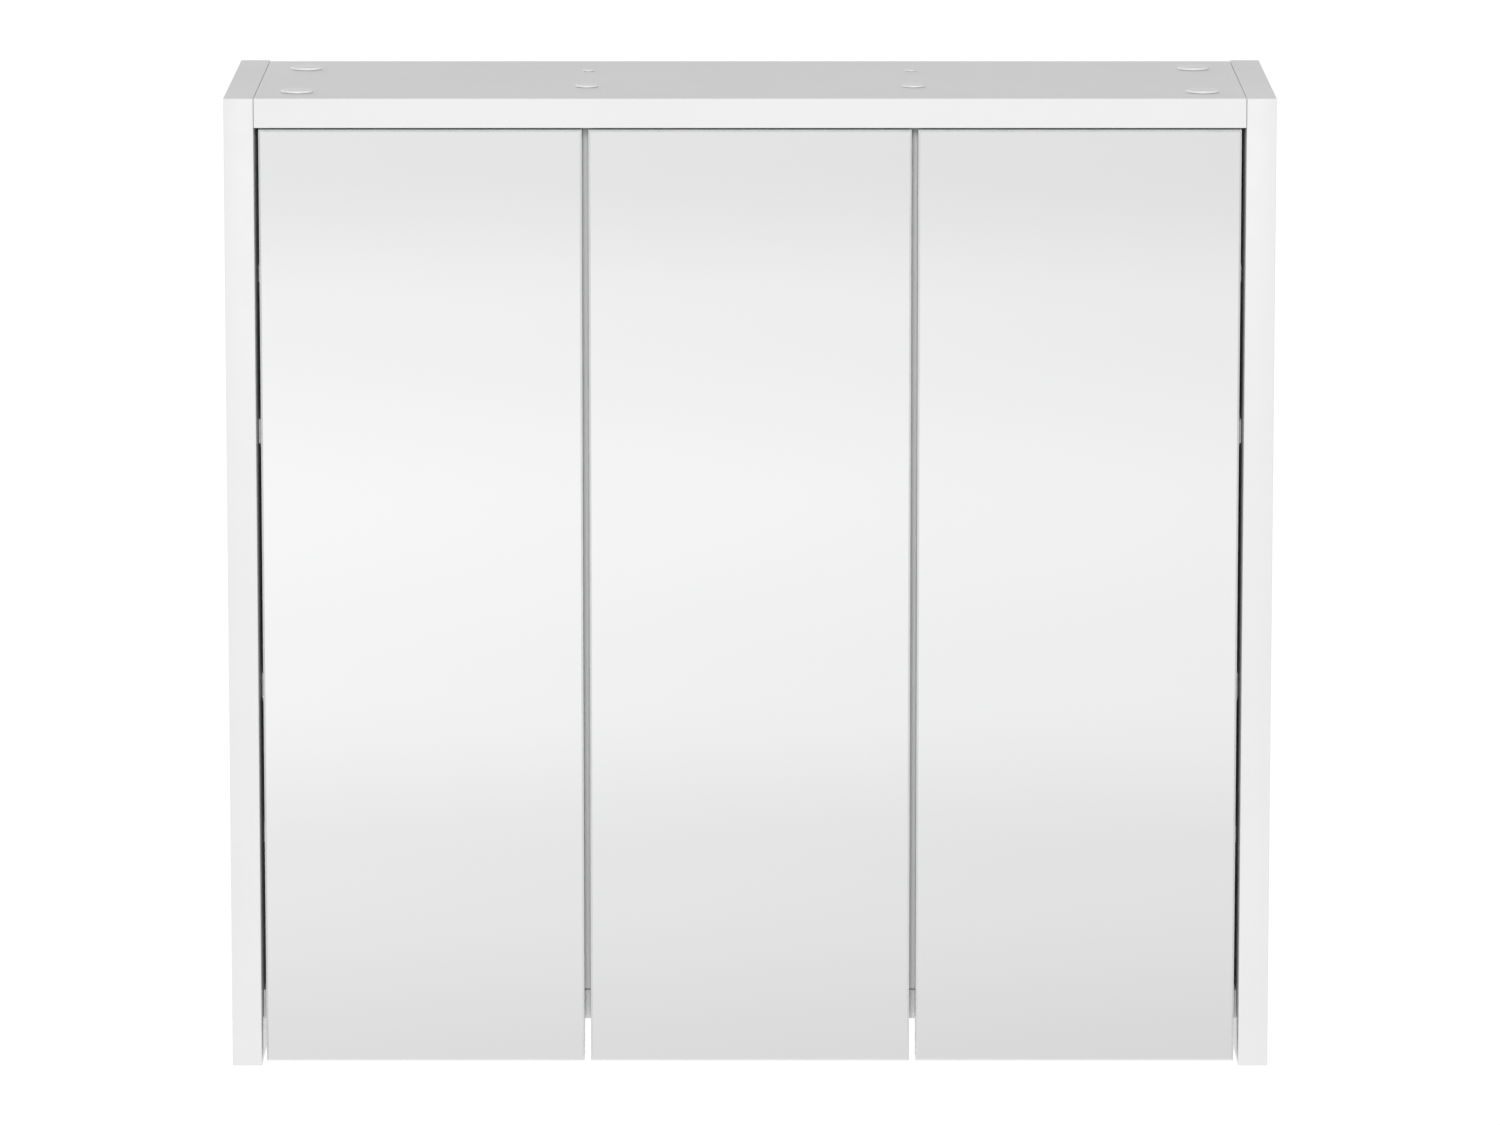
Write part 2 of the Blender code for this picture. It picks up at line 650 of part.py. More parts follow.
def make_door(root, name, edge, sign, face):
    """A door and its two hinges. edge is the x of its hinge edge, sign points from there across the door, and
    face is the place of the board that carries the hinges, counted from that edge."""
    arm_x = edge + sign * ARM_PIN[0]
    arm_y = world_y(ARM_PIN[1])
    link_axis = empty(name + "_link_axis", (arm_x, arm_y, world_z(HINGE_HEIGHTS["lower"])), root)
    pin_x = edge + sign * CUP_PIN[0]
    pin_y = world_y(CUP_PIN[1])
    door_axis = empty(name + "_door_axis", (pin_x, pin_y, world_z(HINGE_HEIGHTS["lower"])), link_axis)

    near, far = sorted((edge, edge + sign * DOOR_WIDTH))
    bottom = world_z(DOOR_BOTTOM)
    top = world_z(DOOR_TOP)
    panel = board(
        "door_board_" + name,
        (near, world_y(MIRROR + GAP), bottom),
        (far, world_y(DOOR_BACK), top),
        door_axis,
    )
    chamfered_mirror(
        "mirror_" + name,
        (near, world_y(0), bottom),
        (far, world_y(MIRROR), top),
        door_axis,
    )
    cup_x = edge + sign * CUP_CENTRE
    for level, height in HINGE_HEIGHTS.items():
        title = name + "_hinge_" + level
        z = world_z(height)
        local = Vector((cup_x, 0, z)) - world_spot(panel)
        floor = world_y(CUP_BORE_FLOOR) - world_spot(panel).y
        mouth = world_y(DOOR_BACK) + CUT_PAST - world_spot(panel).y
        bore = rod_shape((local.x, local.z), CUP_BORE_RADIUS, 1, floor, mouth, FINE_SIDES)
        cut(panel, level + "_cup_bore", bore)
        hinge_cup(title + "_cup", sign, (cup_x, world_y(0), z), door_axis)
        hinge_link(title + "_link", sign, (arm_x, arm_y, z), link_axis)
        hinge_arm(title + "_arm", sign, face - ARM_PIN[0], (arm_x, arm_y, z), root)
        hinge_plate(title + "_plate", sign, (edge + sign * face, world_y(PLATE_DEPTH), z), root)


def main():
    clear_scene()
    root = empty("cabinet", (0, 0, 0))
    sides, top = make_carcass(root)
    make_shelves(root)
    make_top_fittings(root, top)
    make_hangers(root, sides)
    make_bumpers(root)
    outer_edge = INNER_HALF - DOOR_SIDE_GAP
    middle_edge = -DOOR_WIDTH / 2
    partition_face = -PARTITION_X + PARTITION / 2 - middle_edge
    make_door(root, "left", -outer_edge, 1, -DOOR_SIDE_GAP)
    make_door(root, "middle", middle_edge, 1, partition_face)
    make_door(root, "right", outer_edge, -1, -DOOR_SIDE_GAP)


main()
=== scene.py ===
"""The looks of the hanging mirror cabinet: finer pieces, materials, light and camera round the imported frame.

Metres, +Z up. X runs to the right and +Y into the wall, which is the plane y = 0.
"""

import json
import math

import bmesh
import bpy
from mathutils import Matrix, Vector

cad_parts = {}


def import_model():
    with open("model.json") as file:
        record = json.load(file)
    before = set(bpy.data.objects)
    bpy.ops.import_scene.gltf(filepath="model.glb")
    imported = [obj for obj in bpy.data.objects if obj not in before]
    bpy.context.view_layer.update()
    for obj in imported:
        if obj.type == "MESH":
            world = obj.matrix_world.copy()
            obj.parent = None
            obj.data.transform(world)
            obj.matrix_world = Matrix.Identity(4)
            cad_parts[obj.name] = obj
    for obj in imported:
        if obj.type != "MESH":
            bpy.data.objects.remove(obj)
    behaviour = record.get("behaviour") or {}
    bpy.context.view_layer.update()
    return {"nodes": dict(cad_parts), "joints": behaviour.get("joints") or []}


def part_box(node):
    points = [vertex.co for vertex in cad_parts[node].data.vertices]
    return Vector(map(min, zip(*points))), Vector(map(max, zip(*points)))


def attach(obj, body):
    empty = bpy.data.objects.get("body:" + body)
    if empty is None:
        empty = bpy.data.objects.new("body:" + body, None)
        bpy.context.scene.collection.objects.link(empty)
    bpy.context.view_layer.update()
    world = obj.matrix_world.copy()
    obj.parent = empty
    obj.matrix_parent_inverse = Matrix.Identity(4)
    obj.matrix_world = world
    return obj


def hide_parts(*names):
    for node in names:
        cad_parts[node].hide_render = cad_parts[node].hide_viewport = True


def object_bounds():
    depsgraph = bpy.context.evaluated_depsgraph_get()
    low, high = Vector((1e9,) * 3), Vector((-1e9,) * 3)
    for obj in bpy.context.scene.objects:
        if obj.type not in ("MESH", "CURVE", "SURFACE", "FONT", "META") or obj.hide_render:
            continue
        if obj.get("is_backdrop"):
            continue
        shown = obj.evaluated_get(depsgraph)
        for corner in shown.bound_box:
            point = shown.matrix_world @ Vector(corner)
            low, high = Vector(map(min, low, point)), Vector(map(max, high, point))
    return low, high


BAYS = ("left", "middle", "right")
LEVELS = ("upper", "lower")
SIDES = (("left", -1), ("right", 1))
# The clearance between CAD nodes, and how near a finer piece comes to what it lies on
GAP = 0.0003
CLOSE = 0.00005
HAIR = 0.00001
CUT_PAST = 0.001
# Angles in degrees: edges that turn by less are shaded smooth, and a bevel rounds those that turn by more
SMOOTH_BELOW = 32
MIRROR_SMOOTH_BELOW = 25
SCREW_SMOOTH_BELOW = 35
COIL_SMOOTH_BELOW = 80
ROUND_ABOVE = 50

# Camera and studio
CAMERA_DISTANCE = 5.5
CAMERA_PITCH = math.radians(9.88)
CAMERA_LENS = 215.4
CAMERA_AIM_RISE = 0.014
FLOOR_DROP = 1.35
FLOOR_RADIUS = 4.5
FLOOR_GLOW = 0.2
FLOOR_FADE = (0.25, 0.98)
KEY_WATTS = 76.0
KEY_SPOT = (-0.1, -4.4, 1.1)
KEY_SIZE = (0.7, 1.4)
FILL_WATTS = 45.0
FILL_SPOT = (-2.6, 3.4, 0.6)
FILL_SIZE = (1.6, 1.6)
CEILING = 0.56
CEILING_START = (0.05, 0.40)
# The wall that the mirrors show: where it starts, its span of heights, its banding, and how far its
# brightness leans from left to right
WALL_START = (-0.92, -0.97)
WALL_SPAN = (-0.30, -0.05)
WALL_LEVELS = (
    (0.0, 0.72),
    (0.28, 0.74),
    (0.38, 0.83),
    (0.46, 0.93),
    (0.54, 0.96),
    (0.62, 0.914),
    (0.69, 0.82),
    (1.0, 0.75),
)
WALL_LEAN = 0.3
# The room's brightness from straight ahead of the doors (0) round to straight behind the cabinet (1)
ROOM_LEVELS = ((0.0, 0.46), (0.2, 0.56), (0.45, 0.82), (0.6, 0.84), (0.86, 1.03), (1.0, 1.03))

# Boards
EDGE_RADIUS = 0.0004
END_RELIEF = 0.0009
SIDE_BEVEL_STEPS = 3
PIN_HOLE_RADIUS = 0.0025
PIN_HOLE_DEPTH = 0.0085
PIN_SIDES = 20
PIN_PITCH = 0.032
PIN_DROP = 0.0035
PIN_COLUMN_INSETS = (0.027, 0.150)
PIN_RADIUS = 0.0023
PIN_SHANK = 0.0075
PIN_TIP = 0.0005
PIN_TIP_RADIUS = 0.0020
PIN_COLLAR = 0.0008
PIN_COLLAR_RADIUS = 0.0031
PIN_FACE = 0.0011
PIN_FACE_RADIUS = 0.0026
TONGUE_REACH = (0.0009, 0.0085)
TONGUE_HALF_WIDTH = 0.0035
TONGUE_DROP = 0.0024
TONGUE_BEVEL = 0.0004
SHELF_SIDE_GAP = 0.0004
HANGER_RECESS_DEPTH = 0.0018
POCKET_HALF_WIDTH = 0.0055
POCKET_DEPTH = 0.0138
POCKET_HEIGHTS = (-0.018, 0.004)

# Small metal pieces
SCREW_SIDES = 24
SCREW_LENGTH = 0.006
SLOT_PAST = 0.002
# Each screw's head radius and the rise of its head
PLATE_SCREW = (0.0036, 0.0016)
ARM_SCREW = (0.0038, 0.0014)
CUP_SCREW = (0.0035, 0.0013)
HANGER_SCREW = (0.0029, 0.0003)
PLATE_SETBACK = 0.035
ARM_SCREW_OFFSETS = (-0.005, 0.012)
HINGE_BEVEL = 0.00018
PLATE_WING_TOP = 0.0023
PLATE_SCREW_SPREAD = 0.016
CUP_EAR_SPREAD = 0.023
CUP_EAR_OFFSET = 0.004
ARM_WEB = 0.0098
KEYHOLE_RADIUS = 0.005
KEYHOLE_DROP = 0.012
SLOT_HALF_WIDTH = 0.0025
HANGER_SCREW_SPREAD = 0.018
HANGER_SCREW_SUNK = 0.00035
HANGER_CORNER = 0.003
HANGER_BEVEL = 0.0002
SINK_RADIUS = 0.0034
SINK_HOLE_RADIUS = 0.0021
NAIL_RADIUS = 0.0016
NAIL_RISE = 0.0005
NAIL_LENGTH = 0.004
NAIL_SHANK_RADIUS = 0.0006
NAIL_SIDES = 12
NAIL_INSET = 0.03
NAIL_ROW_RISE = 0.002
NAILS_ALONG = 9
NAILS_UP = 5
RIVET_RADIUS = 0.0023
RIVET_SUNK = 0.0004
RIVET_RIM = 0.0002
RIVET_DOME = 0.0005
SPRING_RADIUS = 0.0021
SPRING_WIRE = 0.0004
SPRING_TURNS = 5
SPRING_LENGTH = 0.0042
SPRING_STARTS = (0.0056, -0.0098)
COIL_STEPS = 14
WIRE_SIDES = 6

# Caps: the peg, and the rim and shoulder as shares of the rise
CAP_PEG_RADIUS = 0.0066
CAP_PEG_LIFT = 0.0002
CAP_RIM_SHARE = 0.60
CAP_SHOULDER_SHARE = 0.26

# Mirrors
ARRIS = 0.0013
BACK_ARRIS = 0.0003
FILM_INSET = 0.002
FILM_CLEARANCE = 0.00002


# ---------------------------------------------------------------- materials


class Finish:
    """A node material on a Principled shader, with short ways to add what drives it."""

    def __init__(self, name, colour, roughness, metallic=0.0):
        self.material = bpy.data.materials.new(name)
        self.material.use_nodes = True
        self.nodes = self.material.node_tree.nodes
        self.links = self.material.node_tree.links
        self.shader = self.nodes["Principled BSDF"]
        self.shader.inputs["Base Color"].default_value = (*colour, 1.0)
        self.shader.inputs["Roughness"].default_value = roughness
        self.shader.inputs["Metallic"].default_value = metallic
        self.spot = self.nodes.new("ShaderNodeTexCoord").outputs["Object"]

    def stretched(self, scale):
        mapping = self.nodes.new("ShaderNodeMapping")
        mapping.inputs["Scale"].default_value = scale
        self.links.new(self.spot, mapping.inputs["Vector"])
        return mapping.outputs["Vector"]

    def noise(self, scale, detail=2.0, spot=None):
        noise = self.nodes.new("ShaderNodeTexNoise")
        noise.inputs["Scale"].default_value = scale
        noise.inputs["Detail"].default_value = detail
        self.links.new(spot or self.spot, noise.inputs["Vector"])
        return noise.outputs["Fac"]

    def cells(self, scale, spot=None):
        cells = self.nodes.new("ShaderNodeTexVoronoi")
        cells.inputs["Scale"].default_value = scale
        self.links.new(spot or self.spot, cells.inputs["Vector"])
        return cells.outputs["Color"]

    def ramp(self, source, stops):
        ramp = self.nodes.new("ShaderNodeValToRGB")
        ramp.color_ramp.elements.remove(ramp.color_ramp.elements[1])
        ramp.color_ramp.elements[0].position = stops[0][0]
        ramp.color_ramp.elements[0].color = (*stops[0][1], 1.0)
        for place, colour in stops[1:]:
            ramp.color_ramp.elements.new(place).color = (*colour, 1.0)
        self.links.new(source, ramp.inputs["Fac"])
        return ramp.outputs["Color"]

    def ranged(self, source, low, high):
        """Noise lies mostly between 0.3 and 0.7, which is spread over the given range."""
        spread = self.nodes.new("ShaderNodeMapRange")
        spread.inputs["From Min"].default_value = 0.3
        spread.inputs["From Max"].default_value = 0.7
        spread.inputs["To Min"].default_value = low
        spread.inputs["To Max"].default_value = high
        self.links.new(source, spread.inputs["Value"])
        return spread.outputs["Result"]

    def colour(self, source):
        self.links.new(source, self.shader.inputs["Base Color"])

    def rough(self, source):
        self.links.new(source, self.shader.inputs["Roughness"])

    def bump(self, source, strength, distance):
        bump = self.nodes.new("ShaderNodeBump")
        bump.inputs["Strength"].default_value = strength
        bump.inputs["Distance"].default_value = distance
        self.links.new(source, bump.inputs["Height"])
        self.links.new(bump.outputs["Normal"], self.shader.inputs["Normal"])


def melamine():
    """White melamine facing and its edge banding: satin, with a very fine pebble and faint clouding."""
    finish = Finish("white_melamine", (0.88, 0.88, 0.88), 0.4)
    stops = ((0.3, (0.822, 0.823, 0.824)), (0.7, (0.840, 0.840, 0.839)))
    finish.colour(finish.ramp(finish.noise(9.0, 3.0), stops))
    finish.rough(finish.ranged(finish.noise(70.0, 2.0), 0.44, 0.54))
    finish.bump(finish.noise(1500.0, 3.0), 0.10, 0.0001)
    return finish.material


def chipboard():
    """Raw chipboard, as on a sawn rear edge or inside a drilled hole."""
    finish = Finish("raw_chipboard", (0.6, 0.47, 0.33), 0.9)
    flakes = finish.cells(430.0, finish.stretched((1.0, 1.0, 0.45)))
    stops = ((0.1, (0.36, 0.25, 0.15)), (0.45, (0.60, 0.46, 0.31)), (0.9, (0.76, 0.64, 0.47)))
    finish.colour(finish.ramp(flakes, stops))
    finish.rough(finish.ranged(finish.noise(300.0), 0.8, 0.95))
    finish.bump(flakes, 0.5, 0.0003)
    return finish.material


def fibreboard():
    """The thin back panel: pressed brown fibre with a faint weave from the press screen."""
    finish = Finish("brown_fibreboard", (0.45, 0.33, 0.22), 0.75)
    fibres = finish.noise(420.0, 8.0)
    stops = ((0.3, (0.34, 0.245, 0.16)), (0.5, (0.42, 0.31, 0.205)), (0.7, (0.50, 0.38, 0.26)))
    finish.colour(finish.ramp(fibres, stops))
    finish.rough(finish.ranged(finish.noise(90.0), 0.68, 0.82))
    finish.bump(finish.noise(900.0, 2.0), 0.25, 0.0002)
    return finish.material


def lacquer():
    """White lacquer on the front of the back panel."""
    finish = Finish("white_lacquer", (0.84, 0.84, 0.83), 0.5)
    stops = ((0.3, (0.82, 0.82, 0.81)), (0.7, (0.86, 0.86, 0.855)))
    finish.colour(finish.ramp(finish.noise(12.0, 3.0), stops))
    finish.rough(finish.ranged(finish.noise(160.0), 0.42, 0.55))
    finish.bump(finish.noise(500.0, 4.0), 0.12, 0.0001)
    return finish.material


def silver():
    """The silvered face of a mirror, with the least unevenness of float glass."""
    finish = Finish("mirror_silver", (0.935, 0.938, 0.937), 0.008, 1.0)
    stops = ((0.3, (0.930, 0.933, 0.932)), (0.7, (0.940, 0.943, 0.941)))
    finish.colour(finish.ramp(finish.noise(3.0, 1.0), stops))
    finish.rough(finish.ranged(finish.noise(25.0), 0.006, 0.012))
    return finish.material


def polished_edge():
    """The ground and polished edge of the glass: pale grey with a trace of green, with a bright coat."""
    finish = Finish("polished_glass_edge", (0.80, 0.82, 0.815), 0.12, 0.35)
    stops = ((0.3, (0.77, 0.795, 0.788)), (0.7, (0.83, 0.848, 0.843)))
    finish.colour(finish.ramp(finish.noise(40.0, 2.0), stops))
    finish.rough(finish.ranged(finish.noise(800.0), 0.08, 0.18))
    finish.bump(finish.noise(2200.0, 2.0, finish.stretched((1.0, 1.0, 0.05))), 0.06, 0.0001)
    finish.shader.inputs["Coat Weight"].default_value = 0.8
    finish.shader.inputs["Coat Roughness"].default_value = 0.04
    return finish.material


def mirror_paint():
    """The grey backing paint behind the silver."""
    finish = Finish("mirror_backing_paint", (0.35, 0.37, 0.38), 0.6)
    stops = ((0.3, (0.30, 0.32, 0.33)), (0.7, (0.39, 0.41, 0.42)))
    finish.colour(finish.ramp(finish.noise(120.0, 4.0), stops))
    finish.bump(finish.noise(700.0), 0.15, 0.0001)
    return finish.material


def adhesive():
    """The off-white adhesive between a mirror and its board."""
    finish = Finish("mirror_adhesive", (0.75, 0.75, 0.73), 0.6)
    stops = ((0.3, (0.66, 0.66, 0.64)), (0.7, (0.80, 0.80, 0.78)))
    finish.colour(finish.ramp(finish.noise(200.0, 3.0), stops))
    finish.rough(finish.ranged(finish.noise(90.0), 0.5, 0.7))
    return finish.material


def moulded_plastic():
    """Moulded white plastic of the caps: satin, with a fine spark-eroded grain."""
    finish = Finish("white_moulded_plastic", (0.85, 0.85, 0.85), 0.4)
    stops = ((0.3, (0.845, 0.845, 0.843)), (0.7, (0.870, 0.870, 0.868)))
    finish.colour(finish.ramp(finish.noise(60.0, 2.0), stops))
    finish.rough(finish.ranged(finish.noise(700.0), 0.36, 0.46))
    finish.bump(finish.noise(2600.0, 2.0), 0.04, 0.0001)
    return finish.material


def nickel():
    """Bright nickel over pressed steel, with the drawn lines of the strip and soft handling marks."""
    finish = Finish("nickel_plate", (0.74, 0.72, 0.69), 0.26, 1.0)
    drawn = finish.noise(160.0, 2.0, finish.stretched((1.0, 0.12, 1.0)))
    stops = ((0.3, (0.71, 0.69, 0.66)), (0.7, (0.78, 0.765, 0.735)))
    finish.colour(finish.ramp(finish.noise(70.0, 2.0), stops))
    finish.rough(finish.ranged(drawn, 0.22, 0.32))
    finish.bump(drawn, 0.02, 0.0001)
    return finish.material


def zinc():
    """Zinc plating: dull blue-white, with fine crystals."""
    finish = Finish("zinc_plate", (0.62, 0.63, 0.63), 0.42, 1.0)
    crystals = finish.cells(500.0)
    finish.colour(finish.ramp(crystals, ((0.1, (0.60, 0.61, 0.62)), (0.9, (0.67, 0.675, 0.67)))))
    finish.rough(finish.ranged(finish.noise(200.0), 0.36, 0.46))
    finish.bump(crystals, 0.02, 0.0001)
    return finish.material


def clear_rubber():
    """The translucent, slightly tacky bumpers."""
    finish = Finish("clear_rubber", (0.85, 0.85, 0.84), 0.35)
    stops = ((0.3, (0.80, 0.80, 0.79)), (0.7, (0.90, 0.90, 0.89)))
    finish.colour(finish.ramp(finish.noise(500.0, 2.0), stops))
    finish.rough(finish.ranged(finish.noise(300.0), 0.28, 0.42))
    finish.shader.inputs["Transmission Weight"].default_value = 0.55
    finish.shader.inputs["IOR"].default_value = 1.45
    return finish.material


def floor_paint():
    """The pale floor, which glows a little and fades into the room towards its rim."""
    finish = Finish("pale_floor", (0.90, 0.90, 0.90), 0.8)
    stops = ((0.3, (0.89, 0.89, 0.89)), (0.7, (0.91, 0.91, 0.91)))
    finish.colour(finish.ramp(finish.noise(0.6, 2.0), stops))
    finish.shader.inputs["Emission Color"].default_value = (1.0, 1.0, 1.0, 1.0)
    finish.shader.inputs["Emission Strength"].default_value = FLOOR_GLOW
    reach = finish.nodes.new("ShaderNodeVectorMath")
    reach.operation = "LENGTH"
    finish.links.new(finish.spot, reach.inputs["Vector"])
    fade = finish.nodes.new("ShaderNodeMapRange")
    fade.interpolation_type = "SMOOTHSTEP"
    fade.inputs["From Min"].default_value = FLOOR_RADIUS * FLOOR_FADE[0]
    fade.inputs["From Max"].default_value = FLOOR_RADIUS * FLOOR_FADE[1]
    fade.inputs["To Min"].default_value = 1.0
    fade.inputs["To Max"].default_value = 0.0
    finish.links.new(reach.outputs["Value"], fade.inputs["Value"])
    finish.links.new(fade.outputs["Result"], finish.shader.inputs["Alpha"])
    return finish.material


# ---------------------------------------------------------------- shapes


def outward_box(low, high):
    shape = bmesh.new()
    bmesh.ops.create_cube(shape, size=1.0)
    bmesh.ops.scale(shape, vec=high - low, verts=shape.verts)
    bmesh.ops.translate(shape, vec=(low + high) / 2, verts=shape.verts)
    return shape


def turned(profile, sides):
    """A solid turned about Z, from (radius, height) points that start and end on the axis."""
    shape = bmesh.new()
    ring = [shape.verts.new((radius, 0.0, height)) for radius, height in profile]
    edges = [shape.edges.new(pair) for pair in zip(ring, ring[1:])]
    bmesh.ops.spin(shape, geom=ring + edges, axis=(0, 0, 1), cent=(0, 0, 0), angle=math.tau, steps=sides)
    bmesh.ops.remove_doubles(shape, verts=shape.verts, dist=1e-6)
    bmesh.ops.recalc_face_normals(shape, faces=shape.faces)
    return shape


def slab(outline, low, high):
    """A flat outline in X and Z, pushed out along Y."""
    shape = bmesh.new()
    face = shape.faces.new([shape.verts.new((x, low, z)) for x, z in outline])
    grown = bmesh.ops.extrude_face_region(shape, geom=[face])
    moved = [item for item in grown["geom"] if isinstance(item, bmesh.types.BMVert)]
    bmesh.ops.translate(shape, vec=(0, high - low, 0), verts=moved)
    bmesh.ops.recalc_face_normals(shape, faces=shape.faces)
    return shape


def arc(centre, radius, start, end, steps):
    points = []
    for k in range(steps + 1):
        angle = math.radians(start + (end - start) * k / steps)
        points.append((centre[0] + radius * math.cos(angle), centre[1] + radius * math.sin(angle)))
    return points


def rounded(centre, half_wide, half_high, radius, steps=6):
    points = []
    for sign_x, sign_y, start in ((1, 1, 0), (-1, 1, 90), (-1, -1, 180), (1, -1, 270)):
        corner = (centre[0] + sign_x * (half_wide - radius), centre[1] + sign_y * (half_high - radius))
        points += arc(corner, radius, start, start + 90, steps)
    return points


def facing(direction, spot):
    """A matrix that turns +Z to a direction and moves to a spot."""
    turn = Vector((0, 0, 1)).rotation_difference(Vector(direction))
    return Matrix.Translation(spot) @ turn.to_matrix().to_4x4()


def mesh_of(name, shape, smooth=SMOOTH_BELOW):
    mesh = bpy.data.meshes.new(name)
    shape.to_mesh(mesh)
    shape.free()
    mesh.shade_smooth()
    mesh.set_sharp_from_angle(angle=math.radians(smooth))
    return mesh


def add_piece(name, mesh, materials, body, slot, *replaced):
    """An object of the visual model. It rides on a body, and may stand for CAD nodes."""
    made = bpy.data.objects.new(name, mesh)
    bpy.context.scene.collection.objects.link(made)
    for material in materials:
        mesh.materials.append(material)
    if replaced:
        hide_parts(*replaced)
    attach(made, body)
    return made


def round_edges(obj, width, steps):
    bevel = obj.modifiers.new("rounded_edges", "BEVEL")
    bevel.width = width
    bevel.segments = steps
    bevel.limit_method = "ANGLE"
    bevel.angle_limit = math.radians(ROUND_ABOVE)


def cut_with(obj, name, shape, material=None):
    """Cuts a shape out of an object for good. The cut's walls take the given material, if there is one."""
    mesh = mesh_of(name, shape)
    if material:
        mesh.materials.append(material)
    tool = bpy.data.objects.new(name, mesh)
    bpy.context.scene.collection.objects.link(tool)
    boolean = obj.modifiers.new(name, "BOOLEAN")
    boolean.operation = "DIFFERENCE"
    boolean.object = tool
    boolean.material_mode = "TRANSFER"
    bpy.context.view_layer.update()
    graph = bpy.context.evaluated_depsgraph_get()
    cut_mesh = bpy.data.meshes.new_from_object(obj.evaluated_get(graph))
    obj.modifiers.clear()
    old = obj.data
    obj.data = cut_mesh
    bpy.data.meshes.remove(old)
    bpy.data.objects.remove(tool)
    bpy.data.meshes.remove(mesh)


# ---------------------------------------------------------------- boards


def pin_heights():
    """Heights of the shelf-pin holes: a 32 mm row that runs one hole past each shelf."""
    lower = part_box("shelf_left_lower")[0].z - PIN_DROP
    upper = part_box("shelf_left_upper")[0].z - PIN_DROP
    count = round((upper - lower) / PIN_PITCH)
    return [lower + k * PIN_PITCH for k in range(-1, count + 2)]


def pin_columns():
    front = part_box("partition_left")[0].y
    return [front + inset for inset in PIN_COLUMN_INSETS]


def drilled_board(node, faces, melamine_white, raw, relief=0.0, recess=None):
    """An upright board with rows of shelf-pin holes in the faces that look into a bay, given by sign.

    Its rear edge is raw chipboard, and the other edges are banded. A relief breaks the front ends further,
    which leaves a groove where they meet another board.
    """
    low, high = (Vector(corner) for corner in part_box(node))
    shape = outward_box(low, high)
    if relief:
        ends = []
        for edge in shape.edges:
            first, second = (vert.co for vert in edge.verts)
            if max(first.y, second.y) < low.y + GAP and abs(first.z - second.z) < GAP:
                ends.append(edge)
        bmesh.ops.bevel(shape, geom=ends, offset=relief, segments=1, affect="EDGES")
    shape.normal_update()
    edges = [edge for edge in shape.edges if all(vert.co.y < high.y - GAP for vert in edge.verts)]
    bmesh.ops.bevel(
        shape,
        geom=edges,
        offset=EDGE_RADIUS,
        segments=SIDE_BEVEL_STEPS,
        profile=0.5,
        affect="EDGES",
    )
    for face in shape.faces:
        face.material_index = 1 if face.normal.y > 0.9 else 0
    materials = (melamine_white, raw)
    made = add_piece(node + "_board", mesh_of(node, shape), materials, "cabinet", "white_board", node)
    drills = bmesh.new()
    for sign in faces:
        surface = high.x if sign > 0 else low.x
        for y in pin_columns():
            for z in pin_heights():
                drill = bmesh.ops.create_cone(
                    drills,
                    cap_ends=True,
                    segments=PIN_SIDES,
                    radius1=PIN_HOLE_RADIUS,
                    radius2=PIN_HOLE_RADIUS,
                    depth=2 * PIN_HOLE_DEPTH,
                )
                place = Matrix.Translation((surface, y, z)) @ Matrix.Rotation(math.pi / 2, 4, "Y")
                bmesh.ops.transform(drills, matrix=place, verts=drill["verts"])
    cut_with(made, node + "_drills", drills, raw)
    if recess is not None:
        plate_low, plate_high = (Vector(corner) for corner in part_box(recess))
        centre = (plate_low.x + plate_high.x) / 2
        hollow = outward_box(
            Vector((plate_low.x - GAP, -HANGER_RECESS_DEPTH, plate_low.z - GAP)),
            Vector((plate_high.x + GAP, GAP, plate_high.z + GAP)),
        )
        cut_with(made, node + "_recess", hollow, raw)
        pocket = outward_box(
            Vector((centre - POCKET_HALF_WIDTH, -POCKET_DEPTH, POCKET_HEIGHTS[0])),
            Vector((centre + POCKET_HALF_WIDTH, GAP, POCKET_HEIGHTS[1])),
        )
        cut_with(made, node + "_pocket", pocket, raw)
    made.data.set_sharp_from_angle(angle=math.radians(SMOOTH_BELOW))
    return made


def dress_boards(nodes, white, raw):
    """The boards whose CAD shape stays, and the upright ones, which get their rows of holes."""
    kept = ["top_panel", "bottom_panel"]
    kept += ["shelf_" + bay + "_" + level for bay in BAYS for level in LEVELS]
    kept += ["door_board_" + bay for bay in BAYS]
    for node in kept:
        paint(nodes[node], white)
    for name, sign in SIDES:
        drilled_board("side_panel_" + name, (-sign,), white, raw, recess="hanger_plate_" + name)
        drilled_board("partition_" + name, (-1, 1), white, raw, relief=END_RELIEF)


def paint(obj, material):
    obj.data.materials.clear()
    obj.data.materials.append(material)


def back_panel(fibre, white):
    """The back panel, lacquered on the front and raw behind, with its edges just broken."""
    low, high = (Vector(corner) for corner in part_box("back_panel"))
    shape = outward_box(low, high)
    bmesh.ops.bevel(shape, geom=list(shape.edges), offset=EDGE_RADIUS / 2, segments=1, affect="EDGES")
    shape.normal_update()
    for face in shape.faces:
        face.material_index = 1 if face.normal.y < -0.9 else 0
    mesh = mesh_of("back_board", shape)
    add_piece("back_board", mesh, (fibre, white), "cabinet", "back_board", "back_panel")


